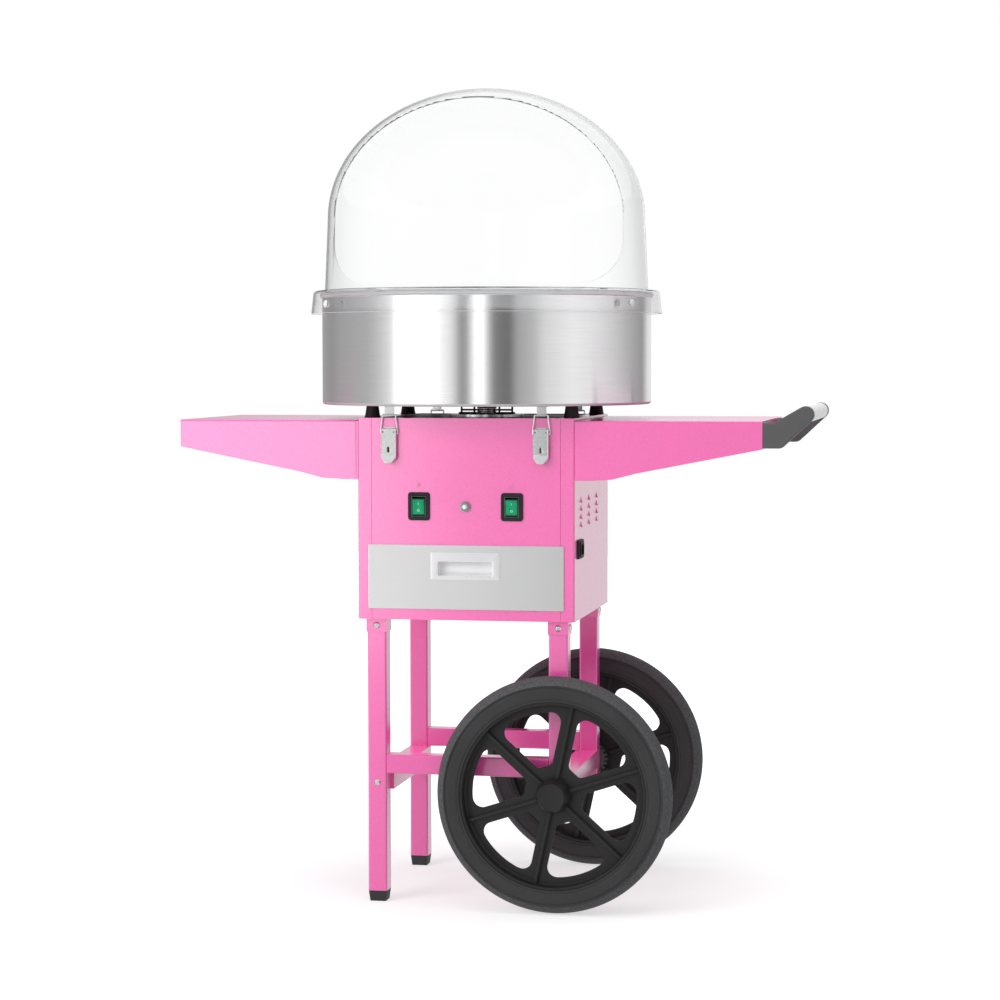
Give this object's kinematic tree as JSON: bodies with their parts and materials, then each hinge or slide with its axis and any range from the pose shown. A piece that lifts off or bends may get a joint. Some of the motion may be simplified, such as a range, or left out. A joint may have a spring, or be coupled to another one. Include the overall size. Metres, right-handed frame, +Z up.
{
  "type": "cotton candy cart",
  "caption": "Wheeled cotton candy cart: pink sheet steel cabinet with folding sheet side trays, drawer, steel bowl under a clear dome, push handle.",
  "frame": {"origin": "on the ground under the middle of the overall length and depth", "axes": "+X along the cart towards the push handle, +Y from the drawer side to the back, +Z up"},
  "size_m": [0.9949, 0.568, 1.2863],
  "materials": {
    "pink_powder_coat": "satin powder coat",
    "black_powder_coat": "satin powder coat",
    "brushed_steel": "brushed",
    "satin_chrome": "satin",
    "zinc_plate": "bright zinc plate",
    "black_rubber": "matte",
    "tyre_rubber": "matte, finely grained",
    "black_plastic": "moulded, fine grain",
    "dark_grey_plastic": "moulded, fine grain",
    "grip_tube": "satin anodised",
    "green_lens": "translucent gloss",
    "clear_dome": "clear polycarbonate",
    "white_plastic": "gloss"
  },
  "bodies": {
    "cart": {"front_left_leg": "pink_powder_coat", "rear_left_leg": "pink_powder_coat", "front_right_leg": "pink_powder_coat", "rear_right_leg": "pink_powder_coat", "rubber_feet": "black_rubber", "leg_sockets": "pink_powder_coat", "front_rail": "pink_powder_coat", "rear_rail": "pink_powder_coat", "left_side_rail": "pink_powder_coat", "right_side_rail": "pink_powder_coat", "frame_screws": "zinc_plate", "wheel_axle": "zinc_plate", "floor_pan": "pink_powder_coat", "left_side_panel": "pink_powder_coat", "right_side_panel": "pink_powder_coat", "front_panel": "pink_powder_coat", "back_panel": "pink_powder_coat", "top_deck": "black_powder_coat", "left_tray": "pink_powder_coat", "right_tray": "pink_powder_coat", "front_handle_arm": "dark_grey_plastic", "rear_handle_arm": "dark_grey_plastic", "handle_grip": "grip_tube", "drawer_runners": "zinc_plate", "latch_plates": "zinc_plate", "catch_hooks": "zinc_plate", "bowl": "brushed_steel", "bowl_buffers": "black_rubber", "switch_bezels": "black_plastic", "reset_bush": "zinc_plate", "mains_inlet": "black_plastic", "motor": "brushed_steel", "brush_holder": "black_plastic"},
    "front_wheel": {"front_wheel_rim": "black_plastic", "front_tyre": "tyre_rubber", "front_hub_cap": "black_plastic", "front_hub_bush": "dark_grey_plastic"},
    "rear_wheel": {"rear_wheel_rim": "black_plastic", "rear_tyre": "tyre_rubber", "rear_hub_cap": "black_plastic", "rear_hub_bush": "dark_grey_plastic"},
    "drawer": {"drawer_box": "brushed_steel", "drawer_front": "brushed_steel", "cup_pull": "satin_chrome"},
    "left_switch_rocker": {"left_rocker": "green_lens"},
    "right_switch_rocker": {"right_rocker": "green_lens"},
    "reset_plunger": {"reset_button": "zinc_plate"},
    "spinner": {"spinner_shaft": "zinc_plate", "spinner_head": "brushed_steel", "spinner_cap": "brushed_steel"},
    "lift_off_dome": {"dome": "clear_dome", "dome_clips": "white_plastic"},
    "front_left_latch_lever": {"front_left_lever": "zinc_plate"},
    "front_left_latch_bail": {"front_left_bail": "zinc_plate"},
    "front_right_latch_lever": {"front_right_lever": "zinc_plate"},
    "front_right_latch_bail": {"front_right_bail": "zinc_plate"},
    "rear_left_latch_lever": {"rear_left_lever": "zinc_plate"},
    "rear_left_latch_bail": {"rear_left_bail": "zinc_plate"},
    "rear_right_latch_lever": {"rear_right_lever": "zinc_plate"},
    "rear_right_latch_bail": {"rear_right_bail": "zinc_plate"}
  },
  "joints": [
    {"name": "front_wheel_spin", "type": "hinge", "parent": "cart", "child": "front_wheel", "pos_m": [0.1055, -0.1985, 0.1835], "axis": [0, 1, 0], "continuous": true},
    {"name": "rear_wheel_spin", "type": "hinge", "parent": "cart", "child": "rear_wheel", "pos_m": [0.1055, 0.1985, 0.1835], "axis": [0, 1, 0], "continuous": true},
    {"name": "drawer_slide", "type": "slide", "parent": "cart", "child": "drawer", "axis": [0, -1, 0], "range_m": [0, 0.2]},
    {"name": "left_rocker_tilt", "type": "hinge", "parent": "cart", "child": "left_switch_rocker", "pos_m": [-0.112, -0.17, 0.624], "axis": [-1, 0, 0], "range_deg": [0, 14]},
    {"name": "right_rocker_tilt", "type": "hinge", "parent": "cart", "child": "right_switch_rocker", "pos_m": [0.035, -0.17, 0.624], "axis": [-1, 0, 0], "range_deg": [0, 14]},
    {"name": "reset_press", "type": "slide", "parent": "cart", "child": "reset_plunger", "axis": [0, 1, 0], "range_m": [0, 0.0025], "stiffness_N_per_m": 400, "springref_m": -0.001},
    {"name": "front_left_lever_turn", "type": "hinge", "parent": "cart", "child": "front_left_latch_lever", "pos_m": [-0.1585, -0.176, 0.743], "axis": [-1, 0, 0], "range_deg": [0, 120]},
    {"name": "front_left_bail_turn", "type": "hinge", "parent": "front_left_latch_lever", "child": "front_left_latch_bail", "pos_m": [-0.1585, -0.175, 0.736], "axis": [-1, 0, 0], "range_deg": [-120, 0]},
    {"name": "front_right_lever_turn", "type": "hinge", "parent": "cart", "child": "front_right_latch_lever", "pos_m": [0.0815, -0.176, 0.743], "axis": [-1, 0, 0], "range_deg": [0, 120]},
    {"name": "front_right_bail_turn", "type": "hinge", "parent": "front_right_latch_lever", "child": "front_right_latch_bail", "pos_m": [0.0815, -0.175, 0.736], "axis": [-1, 0, 0], "range_deg": [-120, 0]},
    {"name": "rear_left_lever_turn", "type": "hinge", "parent": "cart", "child": "rear_left_latch_lever", "pos_m": [-0.1585, 0.176, 0.743], "axis": [1, 0, 0], "range_deg": [0, 120]},
    {"name": "rear_left_bail_turn", "type": "hinge", "parent": "rear_left_latch_lever", "child": "rear_left_latch_bail", "pos_m": [-0.1585, 0.175, 0.736], "axis": [1, 0, 0], "range_deg": [-120, 0]},
    {"name": "rear_right_lever_turn", "type": "hinge", "parent": "cart", "child": "rear_right_latch_lever", "pos_m": [0.0815, 0.176, 0.743], "axis": [1, 0, 0], "range_deg": [0, 120]},
    {"name": "rear_right_bail_turn", "type": "hinge", "parent": "rear_right_latch_lever", "child": "rear_right_latch_bail", "pos_m": [0.0815, 0.175, 0.736], "axis": [1, 0, 0], "range_deg": [-120, 0]},
    {"name": "spinner_spin", "type": "hinge", "parent": "cart", "child": "spinner", "pos_m": [-0.0385, 0, 0.8], "axis": [0, 0, 1], "continuous": true},
    {"name": "dome_lift", "type": "slide", "parent": "cart", "child": "lift_off_dome", "axis": [0, 0, 1], "range_m": [0, 0.3]}
  ],
  "couplings": [
    {"joint": "front_left_bail_turn", "follows": "front_left_lever_turn", "ratio": -1},
    {"joint": "front_right_bail_turn", "follows": "front_right_lever_turn", "ratio": -1},
    {"joint": "rear_left_bail_turn", "follows": "rear_left_lever_turn", "ratio": -1},
    {"joint": "rear_right_bail_turn", "follows": "rear_right_lever_turn", "ratio": -1}
  ]
}
